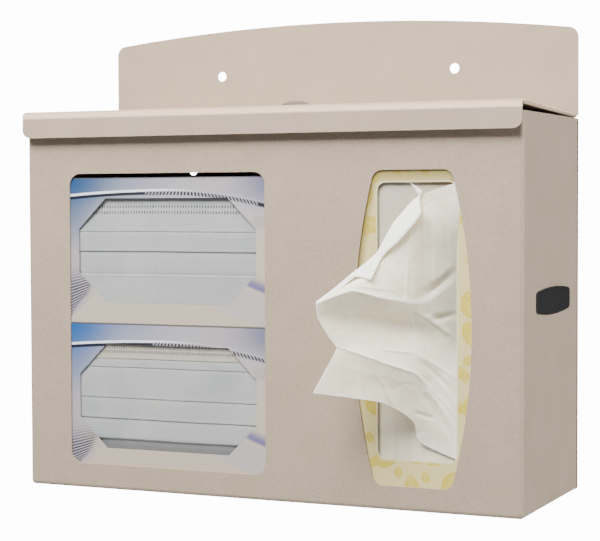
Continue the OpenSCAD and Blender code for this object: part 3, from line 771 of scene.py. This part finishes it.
def pleatPath(c, m):
    # the mask's section from its top to its bottom, with an S-fold at each pleat
    out, layer = c["face"], c["layer"]
    path = [(out + m["lean"], m["top"])]
    above = 0
    for drop, gap, front in m["pleats"]:
        # from the lip up behind it and down again to the next panel
        lift = min(c["overlap"], 0.8 * (drop - above))
        fold = [(0.15, 1.2), (0, 0.35), (0.18, 0), (layer, 0.1), (1.35 * layer, 0.9),
                (1.9 * layer, lift - 0.5), (2.1 * layer, lift), (2.7 * layer, lift),
                (3 * layer, lift - 0.6), (3.1 * layer, 2.2), (gap + 0.12, -0.4), (0.7 * gap, -3)]
        path += [(out + y, m["top"] - drop + front * z) for y, z in fold[::front]]
        above = drop
    path += [(out + 0.3, m["low"] + 1.0), (out + 0.5, m["low"]),
             (out + 0.25 * m["tuck"][0], m["low"] + 0.1), (out + m["tuck"][0], m["low"] - m["tuck"][1])]
    return path


def spread(path, gap):
    # points no further apart than the gap, and the length of the whole path
    points, length = [path[0]], 0.0
    for (ya, za), (yb, zb) in zip(path, path[1:]):
        d = math.hypot(yb - ya, zb - za)
        length += d
        n = max(1, math.ceil(d / gap))
        points += [(ya + (yb - ya) * k / n, za + (zb - za) * k / n) for k in range(1, n + 1)]
    return points, length


def maskSag(x, z, c):
    # slow waves of the fleece towards the wall and up, which all its layers share
    deep, up = c["wave"]
    a = noise.noise(Vector((x / 45, z / 60, 1.7))) + 0.4 * noise.noise(Vector((x / 14, z / 20, 4.2)))
    return deep * a, up * noise.noise(Vector((x / 60, z / 90, 9.1)))


for level in ("lower", "upper"):
    c, m = frontMask, frontMask[level]
    path, length = spread(pleatPath(c, m), c["gap"])
    xs = [bays["maskMiddle"] + c["width"] * (i / (c["cols"] - 1) - 0.5) for i in range(c["cols"])]
    points = []
    for y, z in path:
        for x in xs:
            dy, dz = maskSag(x, z, c)
            points.append(spot(x, y + dy, z + dz))
    mask = meshPiece("frontMask_" + level, points, gridFaces(len(path), c["cols"]), materials["mask_fleece"])
    thicken(mask, c["thickness"])
    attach(mask, "station")
    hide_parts("front_mask_" + level)
    rows = []
    for drop in m["welds"]:
        line = []
        z = m["top"] - drop
        down = drop / (m["pleats"][0][0] - 1.2)
        y = c["face"] + m["lean"] * (1 - down) + 0.15 * down - c["thickness"] / 2
        for i in range(c["weldPoints"]):
            x = xs[0] + c["weldEnd"] + (c["width"] - 2 * c["weldEnd"]) * i / (c["weldPoints"] - 1)
            dy, dz = maskSag(x, z, c)
            line.append(spot(x, y + dy, z + dz))
        rows.append(line)
    welds = linePiece("maskWelds_" + level, rows)
    wide, deep, high = (v / 1000 for v in c["weldSize"])
    runTree(welds, rowTree, Spacing=m["pitch"] / 1000, Size=(m["pitch"] * wide, deep, high),
            Jitter=c["weldJitter"], Seed=5, Material=weldMaterial)
    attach(welds, "station")
print("front masks done")

# tissues

tissueBlock = {"width": 116, "low": 17.2, "high": 247.5, "front": -136.1, "sheet": 1.15,
               "foldRadius": 0.5, "pitch": 1.3, "count": 61, "jitter": 0.3, "seed": 11}

c = tissueBlock
block = foldedSlab("tissuePile", c["width"], c["low"], c["high"], c["front"], c["sheet"],
                   bays["tissueMiddle"], c["foldRadius"])
runTree(block, pileTree, Count=c["count"], Pitch=c["pitch"] / 1000, Jitter=c["jitter"] / 1000,
        Seed=c["seed"], Material=materials["tissue_paper_pile"])
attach(block, "station")
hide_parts("tissue_stack")
print("tissue pile done")

# the net: rows from the sheet's top edge to its bottom one, each from the free edge to the held one,
# in mm from the middle of the carton's opening on the tissues' face; each row says first how
# sharply the sheet is folded along it. The band is the hem that has turned over along the top edge,
# as pairs of points on its two sides. The hem setting: the share of the sheet that its bright edges,
# a painted highlight along its thin edges, take up
pulledTissue = {
    "middle": (120.2, -136.3, 133.0), "rows": 280, "cols": 140, "hem": 0.016, "thickness": 0.16,
    "crispAcross": 0.15, "rough": ((22, 0.5), (8, 0.25)),
    "bandRows": 150, "bandCols": 7, "bandCrisp": 0.45, "bandSwell": (0.9, 0.3),
    "net": [
        (1.0, [(-54.3, -51.1, 15.4), (-32.7, -33.3, 33.1), (-17.9, -24.6, 49.6), (-6.0, -13.2, 77.0),
               (3.6, -8.0, 87.6), (30.9, -2.3, 97.4)]),
        (0.6, [(-54.4, -52.3, 14.9), (-23.9, -37.8, 33.1), (-11.6, -27.4, 48.1), (3.8, -16.0, 66.9),
               (11.3, -6.8, 73.6), (31.9, -1.8, 76.6)]),
        (0.9, [(-54.5, -52.8, 14.5), (-30.5, -46.4, 23.4), (-12.9, -36.4, 18.5), (2.7, -20.9, 14.5),
               (12.2, -8.7, 16.0), (31.5, -0.8, 33.3)]),
        (0.1, [(-54.1, -50.1, 4.7), (-36.5, -34.6, 4.2), (-18.6, -23.2, 2.6), (-0.7, -9.9, -2.1),
               (11.2, -4.1, -8.5), (31.5, -0.7, -4.7)]),
        (0.8, [(-47.3, -45.6, -9.5), (-35.3, -36.4, -13.0), (-17.6, -28.6, -17.4), (2.7, -16.3, -19.5),
               (13.6, -7.3, -26.6), (31.5, -0.7, -39.4)]),
        (0.9, [(-43.2, -42.8, -16.1), (-34.4, -38.2, -19.0), (-16.6, -30.9, -25.2), (4.2, -17.2, -33.8),
               (15.2, -6.4, -47.8), (31.5, -0.7, -67.1)]),
        (0.1, [(-49.9, -48.2, -31.6), (-33.0, -35.9, -37.0), (-15.9, -25.4, -41.7), (1.0, -13.2, -51.9),
               (14.2, -5.0, -71.1), (31.5, -0.7, -81.7)]),
        (0.5, [(-56.5, -53.7, -46.5), (-35.9, -37.3, -50.7), (-15.1, -22.7, -55.5), (-0.0, -9.9, -68.1),
               (3.1, -3.6, -83.5), (30.5, -0.7, -95.2)])],
    "band": [
        ((-54.8, -52.0, 15.8), (-53.9, -53.2, 14.6)), ((-45.3, -42.4, 25.0), (-42.9, -44.7, 21.7)),
        ((-33.5, -34.6, 36.6), (-31.7, -38.7, 32.6)), ((-31.6, -33.6, 37.9), (-19.6, -40.6, 31.1)),
        ((-25.5, -30.5, 43.4), (-16.9, -36.9, 37.6)), ((-20.1, -27.4, 48.8), (-15.3, -31.5, 44.5)),
        ((-17.5, -24.6, 55.0), (-11.7, -30.1, 49.6)), ((-11.5, -19.1, 68.6), (-3.6, -26.4, 57.8)),
        ((-5.2, -14.6, 77.5), (3.9, -21.0, 67.9)), ((-0.5, -11.4, 83.1), (8.3, -16.4, 76.1)),
        ((3.3, -9.6, 87.2), (6.0, -11.9, 83.0)), ((4.0, -8.7, 88.2), (4.9, -9.3, 87.5)),
        ((0.5, -8.2, 92.8), (6.4, -9.1, 91.3)), ((-2.6, -7.8, 97.5), (-1.8, -8.2, 96.6))],
    # rows of the net along which the folded paper catches the light, and how much of it
    "ridges": ((2, 0.62), (4, 0.4), (5, 0.62)), "ridgeWidth": 0.005,
    # fine creases: start and end (across and up), height and width in mm
    "creases": [((3, 16), (31, 38), -3.6, 2.6), ((1, 11), (30, -12), 1.8, 1.8),
                ((11, 2), (31, 7), -3.0, 2.2), ((-4, 6), (12, 6), -0.7, 2.2),
                ((4, -24), (31, -52), -1.2, 1.8), ((6, -38), (31, -78), 1.3, 1.8),
                ((3, -42), (29, -86), -0.9, 2.0), ((-1, -34), (2, 78), 0.6, 1.1),
                ((-17, -37), (-11, -56), 1.0, 1.4), ((-46, -26), (-14, -38), 0.3, 3.0),
                ((0, -62), (14, -66), -0.9, 1.6), ((14, 80), (16, 20), 0.5, 1.3),
                ((22, 88), (23, 25), -0.5, 1.3), ((-40, 12), (-30, -6), 0.6, 3.0),
                ((-31, 24), (-13, 19), 0.7, 0.9), ((-14, 19), (3, 15), 0.7, 0.9),
                ((-46, -14), (-16, -25), 0.6, 0.9), ((-18, -25), (5, -34), 0.7, 0.9),
                ((4, -33), (15, -48), 0.7, 0.9), ((14, -47), (31, -67), 0.6, 0.9),
                ((-18, -17), (3, -20), 0.5, 0.9), ((3, -20), (31, -40), 0.6, 0.9),
                ((-28, 27), (-8, 24), 0.5, 0.9), ((6, 12), (31, -20), 0.6, 0.9),
                ((9, -30), (31, -60), 0.4, 0.9), ((12, -52), (24, -84), 0.5, 0.9),
                ((6, 18), (30, 46), 0.5, 1.0), ((-12, 40), (6, 18), 0.3, 1.2)],
}


def through(points, t, crisp):
    # a curve through the points: straight between them where crisp is 1, smooth where it is 0
    last = len(points) - 1
    i = min(int(t * last), last - 1)
    f = t * last - i
    a, b, c, d = points[max(i - 1, 0)], points[i], points[i + 1], points[min(i + 2, last)]
    curve = b + 0.5 * f * (c - a + f * (2 * a - 5 * b + 4 * c - d + f * (3 * b - a - 3 * c + d)))
    return curve.lerp(b.lerp(c, f), crisp)


def creaseLift(x, z, creases):
    lift = 0.0
    here = Vector((x, z))
    for start, end, height, width in creases:
        a, b = Vector(start), Vector(end)
        t = max(0.0, min(1.0, (here - a).dot(b - a) / (b - a).length_squared))
        away = (here - a.lerp(b, t)).length
        fade = min(1.0, 4 * t) * min(1.0, 6 * (1 - t) + 0.25)
        lift += height * math.exp(-(away / width) ** 2) * fade
    return lift


def makePulledTissue(c):
    net = [[Vector(p) for p in row] for fold, row in c["net"]]
    folds = [fold for fold, row in c["net"]]
    # painted highlight: the paper is lighter where it lies double, and along its thin edges and ridges
    points, hems = [], []    # hems: how bright the paper is there, as an edge or a ridge is
    for j in range(c["rows"]):
        v = j / (c["rows"] - 1)
        at = v * (len(net) - 1)
        k = min(int(at), len(net) - 2)
        f = at - k
        ease = f * f * (3 - 2 * f)
        crisp = folds[k] * (1 - ease) + folds[k + 1] * ease
        glint = max(share * math.exp(-((v - row / (len(net) - 1)) / c["ridgeWidth"]) ** 2)
                    for row, share in c["ridges"])
        for i in range(c["cols"]):
            u = i / (c["cols"] - 1)
            p = through([through(row, u, c["crispAcross"]) for row in net], v, crisp)
            free = min(1.0, 6 * (1 - u))
            rough = sum(height * noise.noise(p / size) for size, height in c["rough"])
            p = p + Vector((0, -free * (creaseLift(p.x, p.z, c["creases"]) + rough), 0))
            points.append(p)
            hems.append(max(0.0, 1 - u / c["hem"], 1 - (1 - v) / c["hem"], glint * min(1.0, 3 * (1 - u))))
    faces = gridFaces(c["rows"], c["cols"])
    start, along, over = len(points), c["bandRows"], c["bandCols"]
    sides = [[Vector(pair[k]) for pair in c["band"]] for k in (0, 1)]
    swellOut, swellUp = c["bandSwell"]
    for j in range(along):
        v = j / (along - 1)
        outer, inner = (through(side, v, c["bandCrisp"]) for side in sides)
        for i in range(over):
            u = i / (over - 1)
            p = outer.lerp(inner, u)
            swell = math.sin(math.pi * u) * min(1.0, (outer - inner).length / 8)
            points.append(p + Vector((0, 0.25 * noise.noise(p / 7) - swellOut * swell, swellUp * swell)))
            # the folded band lies double, lighter toward its edges as a painted highlight
            hems.append(0.55 + 0.45 * abs(2 * u - 1) ** 3)
    faces += [tuple(start + n for n in face) for face in gridFaces(along, over)]
    middle = Vector(c["middle"])
    piece = meshPiece("pulledTissue", [spot(*(p + middle)) for p in points], faces,
                      materials["tissue_paper"])
    piece.data.attributes.new("hem", "FLOAT", "POINT").data.foreach_set("value", hems)
    area = sum(face.area for face in piece.data.polygons)
    thicken(piece, c["thickness"])
    return piece, area


tissue, tissueArea = makePulledTissue(pulledTissue)
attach(tissue, "station")
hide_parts("pulled_tissue")
print("pulled tissue done: area", round(tissueArea * 1e4), "cm2")

# small parts

# bits of board that stand where the tissue carton's tear-out was attached
tearNubs = {"middle": (120.0, 133.3), "halfWidth": 29.4, "halfHeight": 97.25, "corner": 6, "face": -138.0,
            "size": (1.6, 0.45, 0.7), "spacing": 21, "jitter": 0.35, "seed": 9}


def openingOutline(c):
    w, h, r = c["halfWidth"], c["halfHeight"], c["corner"]
    midX, midZ = c["middle"]
    line = []
    for sx, sz, start in ((1, 1, 0), (-1, 1, 90), (-1, -1, 180), (1, -1, 270)):
        for k in range(7):
            a = math.radians(start + 15 * k)
            line.append(spot(midX + sx * (w - r) + r * math.cos(a), c["face"],
                             midZ + sz * (h - r) + r * math.sin(a)))
    return line + line[:1]


c = tearNubs
nubs = linePiece("tearNubs", [openingOutline(c)])
runTree(nubs, rowTree, Spacing=c["spacing"] / 1000, Size=tuple(v / 1000 for v in c["size"]),
        Jitter=c["jitter"], Seed=c["seed"], Material=materials["tissue_board"])
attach(nubs, "station")

labelPlate = {"width": 84, "height": 19.8, "bow": 2.6, "thickness": 0.8, "corner": 2.5, "bevel": 0.35,
              "middle": (68, 146.3), "side": 197.5, "steps": 40}


def makeLabel(c):
    # both long edges bow out, and the corners are rounded
    loops = []
    for inset, out in ((0, 0), (0, c["thickness"] - c["bevel"]), (c["bevel"] * 0.3, c["thickness"] - 0.1),
                       (c["bevel"], c["thickness"])):
        half, corner = c["width"] / 2 - inset, c["corner"] - inset
        edge = []
        for k in range(c["steps"] + 1):
            y = -half * math.cos(math.pi * k / c["steps"])
            past = max(0.0, abs(y) - (half - corner))
            z = c["height"] / 2 - inset - c["bow"] * (y / half) ** 2
            edge.append((y, z - corner + math.sqrt(max(0.0, corner * corner - past * past))))
        loop = edge + [(y, -z) for y, z in reversed(edge)]
        loops.append([spot(c["side"] + out, y - c["middle"][0], z + c["middle"][1]) for y, z in loop])
    n = len(loops[0])
    points = [p for loop in loops for p in loop]
    faces = [(k * n + i, k * n + (i + 1) % n, (k + 1) * n + (i + 1) % n, (k + 1) * n + i)
             for k in range(len(loops) - 1) for i in range(n)]
    faces += [tuple(range(n - 1, -1, -1)), tuple(range(len(points) - n, len(points)))]
    return closeUp(meshPiece("labelPlate", points, faces, materials["label"], smooth=False))


label = makeLabel(labelPlate)
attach(label, "station")
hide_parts("label_plate")
print("small parts done")

bpy.context.view_layer.update()
